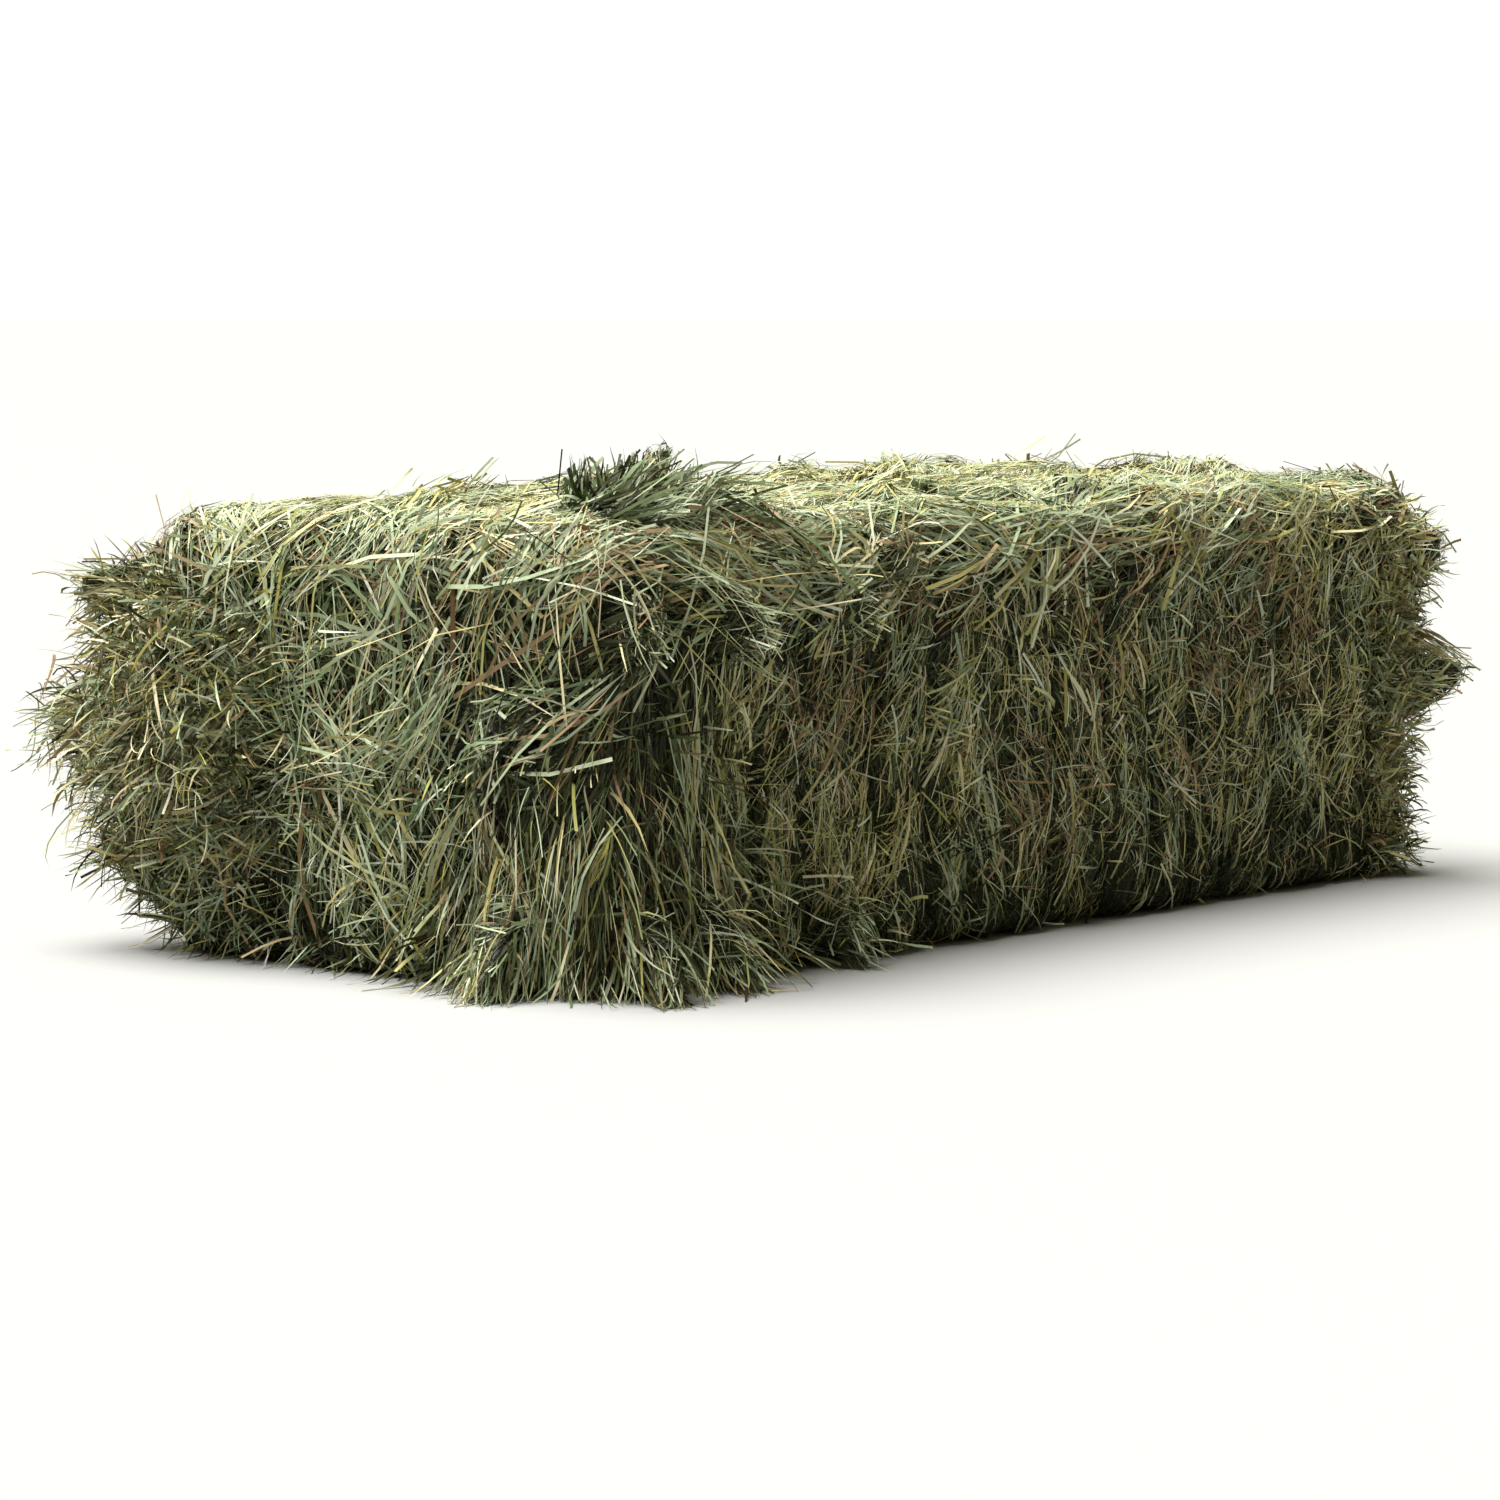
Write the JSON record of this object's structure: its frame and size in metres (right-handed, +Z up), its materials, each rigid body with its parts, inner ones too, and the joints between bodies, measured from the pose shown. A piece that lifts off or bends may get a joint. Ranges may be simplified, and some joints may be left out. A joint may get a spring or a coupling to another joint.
{
  "type": "square hay bale",
  "caption": "Small square bale of pressed meadow hay: a row of flakes held together by two loops of knotted blue baler twine.",
  "frame": {"origin": "on the ground under the middle of the bale, before its loose tufts are counted", "axes": "+X along the bale's length, +Z up, -Y out of the long side that the picture shows, -X out of the end that it shows"},
  "size_m": [1.2608, 0.6492, 0.4272],
  "materials": {
    "hay": "dry, matt, grey-green to straw-coloured blades of grass",
    "twine": "matt, faded blue, twisted fibres"
  },
  "bodies": {
    "root": {"flake_01": "hay", "flake_02": "hay", "flake_03": "hay", "flake_04": "hay", "flake_05": "hay", "flake_06": "hay", "flake_07": "hay", "flake_08": "hay", "flake_09": "hay", "flake_10": "hay", "flake_11": "hay", "flake_12": "hay", "flake_13": "hay", "flake_14": "hay", "flake_15": "hay", "twine_near": "twine", "twine_far": "twine"}
  },
  "joints": []
}
